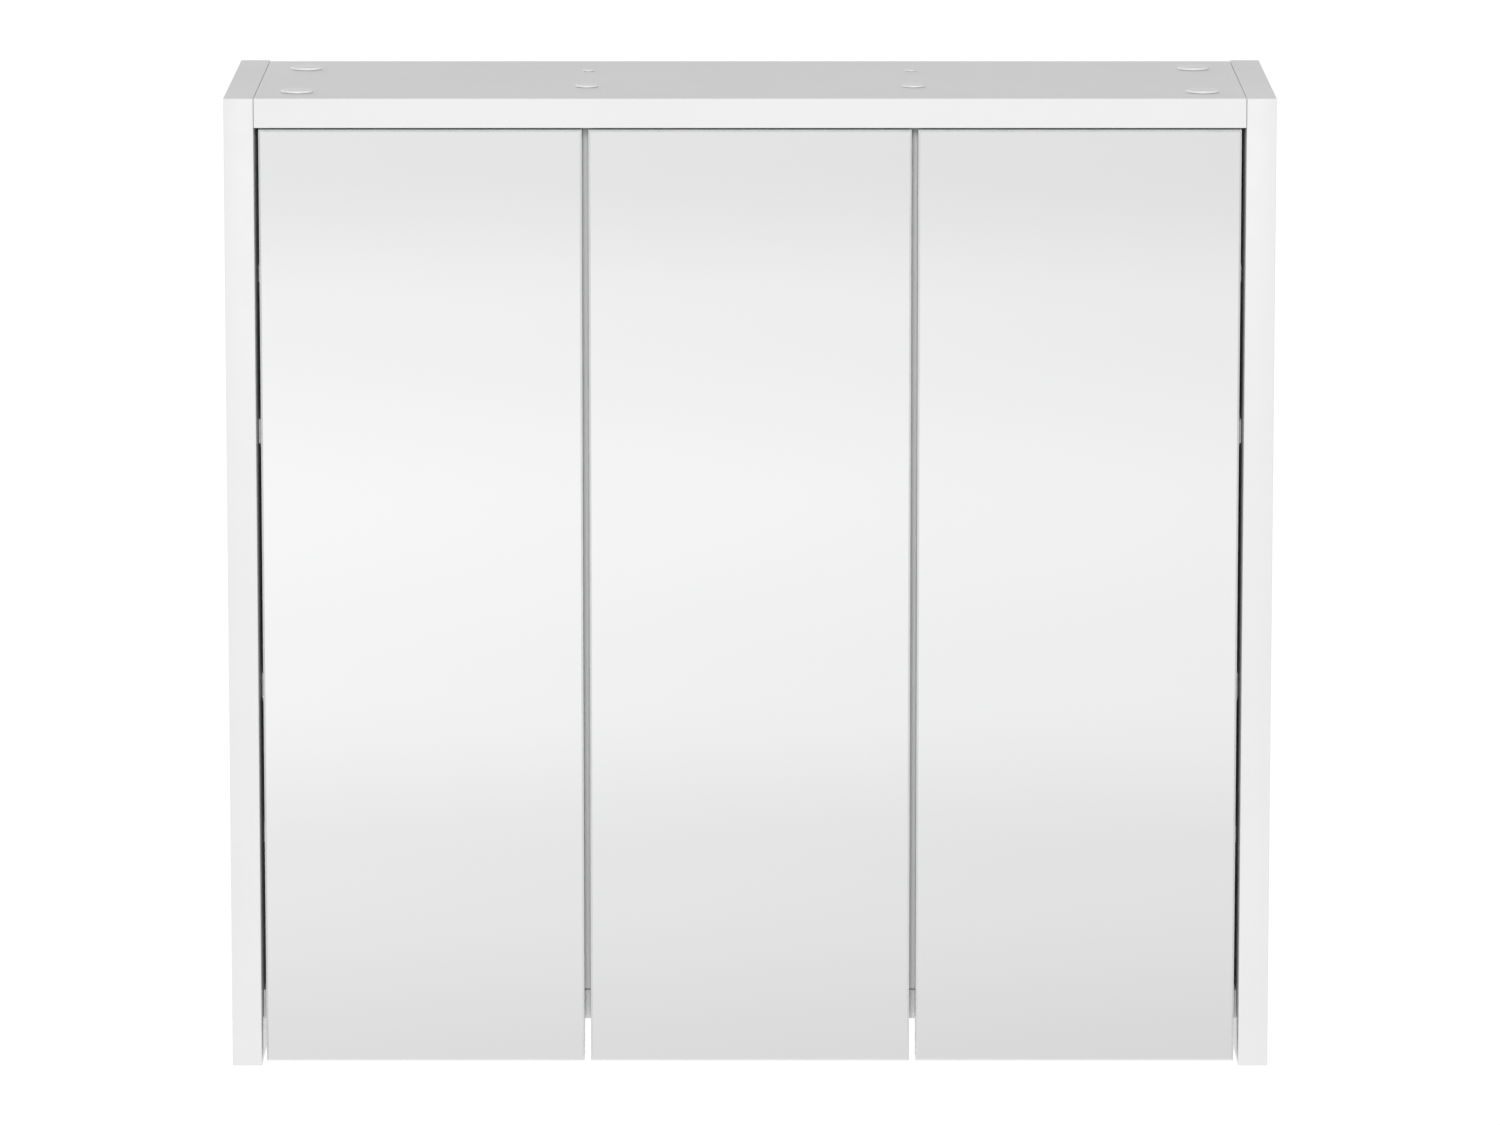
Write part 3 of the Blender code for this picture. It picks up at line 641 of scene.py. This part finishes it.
def back_nails(material):
    """Fine nails that hold the back panel to the boards behind it."""
    low, high = (Vector(corner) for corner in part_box("back_panel"))
    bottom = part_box("bottom_panel")
    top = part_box("top_panel")
    spots = []
    rows = ((bottom[0].z + bottom[1].z) / 2 + NAIL_ROW_RISE, (top[0].z + high.z) / 2)
    for z in rows:
        for k in range(NAILS_ALONG):
            share = k / (NAILS_ALONG - 1)
            spots.append((low.x + NAIL_INSET + (high.x - low.x - 2 * NAIL_INSET) * share, z))
    for name, _ in SIDES:
        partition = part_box("partition_" + name)
        x = (partition[0].x + partition[1].x) / 2
        for k in range(1, NAILS_UP + 1):
            spots.append((x, rows[0] + (rows[1] - rows[0]) * k / (NAILS_UP + 1)))
    profile = [(0, -NAIL_LENGTH), (NAIL_SHANK_RADIUS, -NAIL_LENGTH), (NAIL_SHANK_RADIUS, 0)]
    profile += [(NAIL_RADIUS, 0), (NAIL_RADIUS, NAIL_RISE * 0.5), (NAIL_RADIUS * 0.7, NAIL_RISE)]
    profile.append((0, NAIL_RISE))
    nail = mesh_of("nail", turned(profile, NAIL_SIDES))
    places = [facing((0, 1, 0), (x, high.y + CLOSE, z)) for x, z in spots]
    mesh = gathered("back_nails", nail, places)
    add_piece("back_nails", mesh, (material,), "cabinet", "zinc_plated_steel")


def gathered(name, mesh, places):
    """One mesh that holds a copy of a mesh at each place. The copied mesh is used up."""
    group = bmesh.new()
    for place in places:
        copy = mesh.copy()
        copy.transform(place)
        group.from_mesh(copy)
        bpy.data.meshes.remove(copy)
    bpy.data.meshes.remove(mesh)
    made = bpy.data.meshes.new(name)
    group.to_mesh(made)
    group.free()
    return made


# ---------------------------------------------------------------- fasteners


def screw_mesh(name, radius, rise, sunk):
    """A screw's head with a cross recess, standing on height 0, and the start of its shank below."""
    shank = radius * 0.5
    profile = [(0, -SCREW_LENGTH), (shank, -SCREW_LENGTH)]
    if sunk:
        profile += [(shank, -radius * 0.6), (radius, 0), (radius * 0.98, rise * 0.4), (0, rise)]
    else:
        profile += [(shank, 0), (radius, 0), (radius, rise * 0.45)]
        for k in range(1, 5):
            angle = k * math.pi / 10
            profile.append((radius * math.cos(angle), rise * (0.45 + 0.55 * math.sin(angle))))
        profile.append((0, rise))
    head = bpy.data.objects.new(name, mesh_of(name, turned(profile, SCREW_SIDES)))
    bpy.context.scene.collection.objects.link(head)
    deep = max(rise, radius * 0.25) * 1.1
    for turn in (0, 1):
        long, thin = radius * 0.62, radius * 0.15
        half = (long, thin) if turn == 0 else (thin, long)
        slot = outward_box(
            Vector((-half[0], -half[1], rise - deep)),
            Vector((half[0], half[1], rise + SLOT_PAST)),
        )
        for vert in slot.verts:
            if vert.co.z < rise:
                vert.co.x *= 0.6
                vert.co.y *= 0.6
        cut_with(head, name + "_slot", slot)
    mesh = head.data
    bpy.data.objects.remove(head)
    mesh.set_sharp_from_angle(angle=math.radians(SCREW_SMOOTH_BELOW))
    return mesh


def hinge_screws(bay, level, sign, steel):
    """The screws of one hinge: two in the plate, two on the arm, and two in the cup's ears."""
    title = bay + "_hinge_" + level
    inward = (sign, 0, 0)
    low, high = (Vector(corner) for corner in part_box(title + "_plate"))
    face = (low.x if sign > 0 else high.x) - sign * GAP
    z = (low.z + high.z) / 2
    wing_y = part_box("partition_left")[0].y + PLATE_SETBACK
    wing_x = face + sign * PLATE_WING_TOP
    places = [facing(inward, (wing_x, wing_y, z + up * PLATE_SCREW_SPREAD)) for up in (-1, 1)]
    plate = screw_mesh("plate_screw", *PLATE_SCREW, False)
    mesh = gathered(title + "_plate_screws", plate, places)
    add_piece(title + "_plate_screws", mesh, (steel,), "cabinet", "nickel_plated_steel")
    places = [facing(inward, (face + sign * ARM_WEB, wing_y + along, z)) for along in ARM_SCREW_OFFSETS]
    mesh = gathered(title + "_arm_screws", screw_mesh("arm_screw", *ARM_SCREW, False), places)
    add_piece(title + "_arm_screws", mesh, (steel,), "cabinet", "nickel_plated_steel")
    low, high = (Vector(corner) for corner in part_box(title + "_cup"))
    centre = (low.x + high.x) / 2 + sign * CUP_EAR_OFFSET
    places = [facing((0, 1, 0), (centre, high.y, z + up * CUP_EAR_SPREAD)) for up in (-1, 1)]
    mesh = gathered(title + "_cup_screws", screw_mesh("cup_screw", *CUP_SCREW, False), places)
    add_piece(title + "_cup_screws", mesh, (steel,), bay + "_door", "nickel_plated_steel")


def coil(start, end, radius, wire, turns):
    """A closed tube wound round Z between two heights."""
    shape = bmesh.new()
    steps = turns * COIL_STEPS
    rings = []
    for k in range(steps + 1):
        angle = math.tau * k / COIL_STEPS
        height = start + (end - start) * k / steps
        ring = []
        for side in range(WIRE_SIDES):
            tilt = math.tau * side / WIRE_SIDES
            reach = radius + wire * math.cos(tilt)
            spot = (reach * math.cos(angle), reach * math.sin(angle), height + wire * math.sin(tilt))
            ring.append(shape.verts.new(spot))
        rings.append(ring)
    for first, second in zip(rings, rings[1:]):
        for side in range(WIRE_SIDES):
            following = (side + 1) % WIRE_SIDES
            shape.faces.new((first[side], first[following], second[following], second[side]))
    shape.faces.new(rings[0])
    shape.faces.new(rings[-1])
    bmesh.ops.recalc_face_normals(shape, faces=shape.faces)
    return shape


def hinge_springs(bay, level, pins, steel):
    """The springs of one hinge, wound round the cup's pin on both sides of the link, and the arm's rivets."""
    title = bay + "_hinge_" + level
    low, high = (Vector(corner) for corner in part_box(title + "_cup"))
    z = (low.z + high.z) / 2
    pin_x, pin_y, _ = pins[bay + "_door_swing"]
    places = [Matrix.Translation((pin_x, pin_y, z + up)) for up in SPRING_STARTS]
    tube = coil(0, SPRING_LENGTH, SPRING_RADIUS, SPRING_WIRE, SPRING_TURNS)
    spring = mesh_of("spring", tube, COIL_SMOOTH_BELOW)
    mesh = gathered(title + "_springs", spring, places)
    add_piece(title + "_springs", mesh, (steel,), bay + "_door", "nickel_plated_steel")
    arm_x, arm_y, _ = pins[bay + "_link_turn"]
    low, high = (Vector(corner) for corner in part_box(title + "_arm"))
    profile = [(0, -RIVET_SUNK), (RIVET_RADIUS, -RIVET_SUNK), (RIVET_RADIUS, RIVET_RIM)]
    for k in range(1, 5):
        angle = k * math.pi / 10
        profile.append((RIVET_RADIUS * math.cos(angle), RIVET_RIM + RIVET_DOME * math.sin(angle)))
    profile.append((0, RIVET_RIM + RIVET_DOME))
    places = [facing((0, 0, 1), (arm_x, arm_y, high.z)), facing((0, 0, -1), (arm_x, arm_y, low.z))]
    mesh = gathered(title + "_rivets", mesh_of("rivet", turned(profile, SCREW_SIDES)), places)
    add_piece(title + "_rivets", mesh, (steel,), "cabinet", "nickel_plated_steel")


def hanger_plate(name, zinc_plate, steel):
    """A keyhole plate with countersunk screw holes, and the two screws flush in them."""
    low, high = (Vector(corner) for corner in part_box("hanger_plate_" + name))
    centre = ((low.x + high.x) / 2, (low.z + high.z) / 2)
    outline = rounded(centre, (high.x - low.x) / 2, (high.z - low.z) / 2, HANGER_CORNER)
    mesh = mesh_of("keyhole_plate_" + name, slab(outline, low.y, high.y))
    node = "hanger_plate_" + name
    plate = add_piece("keyhole_plate_" + name, mesh, (zinc_plate,), "cabinet", "zinc_plated_steel", node)
    neck = math.degrees(math.acos(SLOT_HALF_WIDTH / KEYHOLE_RADIUS))
    keyhole = arc((centre[0], -KEYHOLE_DROP), KEYHOLE_RADIUS, neck, -180 - neck, 40)
    keyhole += arc((centre[0], 0), SLOT_HALF_WIDTH, 180, 0, 16)
    cut_with(plate, "keyhole", slab(keyhole, low.y - CUT_PAST, high.y + CUT_PAST), zinc_plate)
    thick = high.y - low.y
    places = []
    for up in (-1, 1):
        spot = (centre[0], high.y, centre[1] + up * HANGER_SCREW_SPREAD)
        profile = [(0, -2 * thick), (SINK_HOLE_RADIUS, -2 * thick), (SINK_HOLE_RADIUS, -thick * 0.7)]
        profile += [(SINK_RADIUS, 2 * CLOSE), (0, 2 * CLOSE)]
        sink = turned(profile, SCREW_SIDES)
        bmesh.ops.transform(sink, matrix=facing((0, 1, 0), spot), verts=sink.verts)
        cut_with(plate, "countersink", sink, zinc_plate)
        places.append(facing((0, 1, 0), (spot[0], spot[1] - HANGER_SCREW_SUNK, spot[2])))
    round_edges(plate, HANGER_BEVEL, 2)
    screws = gathered("hanger_screws_" + name, screw_mesh("hanger_screw", *HANGER_SCREW, True), places)
    add_piece("hanger_screws_" + name, screws, (steel,), "cabinet", "zinc_plated_steel")


def shelf_pin(group, sign, spot, underside):
    """Adds one spoon pin to a shape: a shank in its hole, a collar, and a flat tongue under the shelf."""
    x, y, z = spot
    profile = [(0, -PIN_SHANK), (PIN_TIP_RADIUS, -PIN_SHANK), (PIN_RADIUS, PIN_TIP - PIN_SHANK)]
    profile += [(PIN_RADIUS, 0.0), (PIN_COLLAR_RADIUS, 0.0), (PIN_COLLAR_RADIUS, PIN_COLLAR)]
    profile += [(PIN_FACE_RADIUS, PIN_FACE), (0, PIN_FACE)]
    shank = turned(profile, PIN_SIDES)
    bmesh.ops.transform(shank, matrix=facing((sign, 0, 0), spot), verts=shank.verts)
    near, far = sorted((x + sign * TONGUE_REACH[0], x + sign * TONGUE_REACH[1]))
    tongue = outward_box(
        Vector((near, y - TONGUE_HALF_WIDTH, underside - TONGUE_DROP)),
        Vector((far, y + TONGUE_HALF_WIDTH, underside - 2 * CLOSE)),
    )
    edges = list(tongue.edges)
    bmesh.ops.bevel(tongue, geom=edges, offset=TONGUE_BEVEL, segments=2, affect="EDGES", profile=0.5)
    for part in (shank, tongue):
        copy = bpy.data.meshes.new("pin_part")
        part.to_mesh(copy)
        part.free()
        group.from_mesh(copy)
        bpy.data.meshes.remove(copy)


def shelf_pins(steel):
    """Four pins under each shelf."""
    for bay in BAYS:
        for level in LEVELS:
            low, high = (Vector(corner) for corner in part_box("shelf_" + bay + "_" + level))
            group = bmesh.new()
            for sign, x in ((1, low.x - SHELF_SIDE_GAP), (-1, high.x + SHELF_SIDE_GAP)):
                for y in pin_columns():
                    shelf_pin(group, sign, (x, y, low.z - PIN_DROP), low.z)
            name = "shelf_pins_" + bay + "_" + level
            add_piece(name, mesh_of(name, group), (steel,), "cabinet", "nickel_plated_steel")


# ---------------------------------------------------------------- caps and bumpers


def domed_cap(node, name, plastic, sides=64):
    """A cap with an upright rim, a soft shoulder and a very low dome, standing where its CAD node does."""
    low, high = (Vector(corner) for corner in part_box(node))
    radius = (high.x - low.x) / 2
    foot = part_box("top_panel")[1].z + GAP
    rise = high.z - foot
    peg = min(radius * 0.68, CAP_PEG_RADIUS)
    bottom = low.z + CAP_PEG_LIFT
    profile = [(0, bottom), (peg, bottom), (peg, foot), (radius * 0.985, foot)]
    profile.append((radius, foot + rise * 0.06))
    rim = foot + rise * CAP_RIM_SHARE
    shoulder = rise * CAP_SHOULDER_SHARE
    for k in range(7):
        angle = k * math.pi / 12
        reach = radius - shoulder + shoulder * math.cos(angle)
        profile.append((reach, rim + shoulder * math.sin(angle)))
    edge, start = profile[-1]
    for k in range(1, 7):
        share = k / 7
        profile.append((edge * (1 - share), start + (high.z - start) * (1 - (1 - share) ** 2)))
    profile.append((0, high.z))
    shape = turned(profile, sides)
    centre = ((low.x + high.x) / 2, (low.y + high.y) / 2, 0)
    bmesh.ops.translate(shape, vec=centre, verts=shape.verts)
    add_piece(name, mesh_of(name, shape), (plastic,), "cabinet", "white_plastic", node)


def top_fittings(nodes, plastic, zinc_plate):
    for side, _ in SIDES:
        for row in ("front", "rear"):
            domed_cap("cam_cover_" + row + "_" + side, "cam_cap_" + row + "_" + side, plastic)
            paint(nodes["cam_lock_" + row + "_" + side], zinc_plate)
        domed_cap("screw_cap_" + side, "screw_cap_dome_" + side, plastic)
        domed_cap("hole_plug_" + side, "hole_plug_dome_" + side, plastic, 32)


def bumper(bay, rubber):
    """A soft round bumper with a domed nose towards the door."""
    low, high = (Vector(corner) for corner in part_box("bumper_" + bay))
    radius = (high.x - low.x) / 2
    length = high.y - low.y
    profile = [(0, 0), (radius, 0), (radius, length * 0.35)]
    for k in range(1, 9):
        angle = k * math.pi / 16
        profile.append((radius * math.cos(angle) ** 0.7, length * (0.35 + 0.65 * math.sin(angle))))
    profile[-1] = (0, length)
    shape = turned(profile, 32)
    place = facing((0, -1, 0), ((low.x + high.x) / 2, high.y, (low.z + high.z) / 2))
    bmesh.ops.transform(shape, matrix=place, verts=shape.verts)
    name = "soft_bumper_" + bay
    add_piece(name, mesh_of(name, shape), (rubber,), "cabinet", "clear_rubber", "bumper_" + bay)


# ---------------------------------------------------------------- doors


def mirror(bay, silvered, edge, paint_coat):
    """A frameless mirror: silvered face, polished arris and edge all round, painted back."""
    low, high = (Vector(corner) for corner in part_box("mirror_" + bay))
    shape = outward_box(low, high)
    front = [e for e in shape.edges if all(vert.co.y < low.y + HAIR for vert in e.verts)]
    bmesh.ops.bevel(shape, geom=front, offset=ARRIS, segments=1, affect="EDGES")
    back = [e for e in shape.edges if all(vert.co.y > high.y - HAIR for vert in e.verts)]
    bmesh.ops.bevel(shape, geom=back, offset=BACK_ARRIS, segments=1, affect="EDGES")
    shape.normal_update()
    for face in shape.faces:
        face.material_index = 1
        if face.normal.y < -0.99:
            face.material_index = 0
        if face.normal.y > 0.99:
            face.material_index = 2
    mesh = mesh_of("mirror_pane_" + bay, shape, MIRROR_SMOOTH_BELOW)
    materials = (silvered, edge, paint_coat)
    add_piece("mirror_pane_" + bay, mesh, materials, bay + "_door", "mirror_glass", "mirror_" + bay)


def adhesive_film(bay, glue):
    """The thin film of adhesive between a mirror and its board."""
    low, high = (Vector(corner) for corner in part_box("mirror_" + bay))
    centre = ((low.x + high.x) / 2, (low.z + high.z) / 2)
    half_wide = (high.x - low.x) / 2 - FILM_INSET
    outline = rounded(centre, half_wide, (high.z - low.z) / 2 - FILM_INSET, FILM_INSET, 4)
    shape = slab(outline, high.y + FILM_CLEARANCE, high.y + GAP - FILM_CLEARANCE)
    name = "adhesive_film_" + bay
    add_piece(name, mesh_of(name, shape), (glue,), bay + "_door", "mirror_glass")


def dress_hinges(nodes, steel):
    for node, obj in nodes.items():
        if "_hinge_" not in node:
            continue
        paint(obj, steel)
        round_edges(obj, HINGE_BEVEL, 2)


# ---------------------------------------------------------------- studio


def camera():
    low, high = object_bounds()
    aim = Vector((0, low.y, (low.z + high.z) / 2 + CAMERA_AIM_RISE))
    back = Vector((0, -math.cos(CAMERA_PITCH), math.sin(CAMERA_PITCH)))
    data = bpy.data.cameras.new("camera")
    data.lens = CAMERA_LENS
    data.sensor_width = 36.0
    eye = bpy.data.objects.new("camera", data)
    bpy.context.scene.collection.objects.link(eye)
    eye.location = aim + back * CAMERA_DISTANCE
    eye.rotation_euler = (-back).to_track_quat("-Z", "Y").to_euler()
    bpy.context.scene.camera = eye


def floor(material):
    shape = bmesh.new()
    bmesh.ops.create_circle(shape, cap_ends=True, segments=96, radius=FLOOR_RADIUS)
    made = bpy.data.objects.new("floor", mesh_of("floor", shape))
    bpy.context.scene.collection.objects.link(made)
    made.data.materials.append(material)
    made.location.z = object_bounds()[0].z - FLOOR_DROP
    made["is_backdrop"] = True


def soft_light(name, spot, target, size, watts):
    """A large soft panel that the camera doesn't see."""
    data = bpy.data.lights.new(name, "AREA")
    data.shape = "RECTANGLE"
    data.size = size[0]
    data.size_y = size[1]
    data.energy = watts
    made = bpy.data.objects.new(name, data)
    bpy.context.scene.collection.objects.link(made)
    made.location = spot
    made.rotation_euler = (Vector(target) - made.location).to_track_quat("-Z", "Y").to_euler()
    made.visible_camera = False


def lights():
    """A tall key in front, which reaches into the gaps between the doors, and a fill for the back."""
    soft_light("key", KEY_SPOT, (0, -0.2, -0.2), KEY_SIZE, KEY_WATTS)
    soft_light("back_fill", FILL_SPOT, (0, 0, -0.25), FILL_SIZE, FILL_WATTS)


def world():
    """A pale room, white behind the cabinet, with a softly banded wall in front for the mirrors to show."""
    made = bpy.data.worlds.new("studio")
    bpy.context.scene.world = made
    made.use_nodes = True
    nodes = made.node_tree.nodes
    links = made.node_tree.links
    background = nodes["Background"]
    direction = nodes.new("ShaderNodeTexCoord").outputs["Generated"]
    parts = nodes.new("ShaderNodeSeparateXYZ")
    links.new(direction, parts.inputs["Vector"])

    def spread(source, low, high):
        node = nodes.new("ShaderNodeMapRange")
        node.interpolation_type = "SMOOTHSTEP"
        node.inputs["From Min"].default_value = low
        node.inputs["From Max"].default_value = high
        links.new(source, node.inputs["Value"])
        return node.outputs["Result"]

    def levels(source, stops):
        node = nodes.new("ShaderNodeValToRGB")
        node.color_ramp.interpolation = "EASE"
        node.color_ramp.elements.remove(node.color_ramp.elements[1])
        node.color_ramp.elements[0].position = stops[0][0]
        node.color_ramp.elements[0].color = (*([stops[0][1]] * 3), 1.0)
        for place, value in stops[1:]:
            node.color_ramp.elements.new(place).color = (value, value, value, 1.0)
        links.new(source, node.inputs["Fac"])
        return node.outputs["Color"]

    def mixed(factor, first, second):
        """The second is an output, or a plain brightness."""
        node = nodes.new("ShaderNodeMix")
        node.data_type = "RGBA"
        links.new(factor, node.inputs["Factor"])
        links.new(first, node.inputs["A"])
        if isinstance(second, float):
            node.inputs["B"].default_value = (second, second, second, 1.0)
        else:
            links.new(second, node.inputs["B"])
        return node.outputs["Result"]

    def scaled(source, ends, results=(0.0, 1.0)):
        node = nodes.new("ShaderNodeMapRange")
        node.inputs["From Min"].default_value = ends[0]
        node.inputs["From Max"].default_value = ends[1]
        node.inputs["To Min"].default_value = results[0]
        node.inputs["To Max"].default_value = results[1]
        links.new(source, node.inputs["Value"])
        return node.outputs["Result"]

    room = levels(scaled(parts.outputs["Y"], (-1.0, 1.0)), ROOM_LEVELS)
    room = mixed(spread(parts.outputs["Z"], *CEILING_START), room, CEILING)
    wall = levels(scaled(parts.outputs["Z"], WALL_SPAN), WALL_LEVELS)
    leaning = nodes.new("ShaderNodeVectorMath")
    leaning.operation = "SCALE"
    links.new(wall, leaning.inputs["Vector"])
    lean = scaled(parts.outputs["X"], (-0.5, 0.5), (1.0 + WALL_LEAN, 1.0 - WALL_LEAN))
    links.new(lean, leaning.inputs["Scale"])
    ahead = spread(parts.outputs["Y"], *WALL_START)
    links.new(mixed(ahead, room, leaning.outputs["Vector"]), background.inputs["Color"])


def main():
    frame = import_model()
    nodes = frame["nodes"]
    white = melamine()
    raw = chipboard()
    steel = nickel()
    zinc_plate = zinc()
    plastic = moulded_plastic()
    dress_boards(nodes, white, raw)
    back_panel(fibreboard(), lacquer())
    back_nails(zinc_plate)
    dress_hinges(nodes, steel)
    pins = {joint["name"]: joint["pos_m"] for joint in frame["joints"]}
    for bay, sign in zip(BAYS, (1, 1, -1)):
        for level in LEVELS:
            hinge_screws(bay, level, sign, steel)
            hinge_springs(bay, level, pins, steel)
    for name, _ in SIDES:
        hanger_plate(name, zinc_plate, steel)
    shelf_pins(steel)
    top_fittings(nodes, plastic, zinc_plate)
    rubber = clear_rubber()
    silvered = silver()
    edge = polished_edge()
    backing = mirror_paint()
    glue = adhesive()
    for bay in BAYS:
        bumper(bay, rubber)
        mirror(bay, silvered, edge, backing)
        adhesive_film(bay, glue)
    camera()
    floor(floor_paint())
    lights()
    world()
    bpy.context.scene.view_settings.view_transform = "Standard"


main()
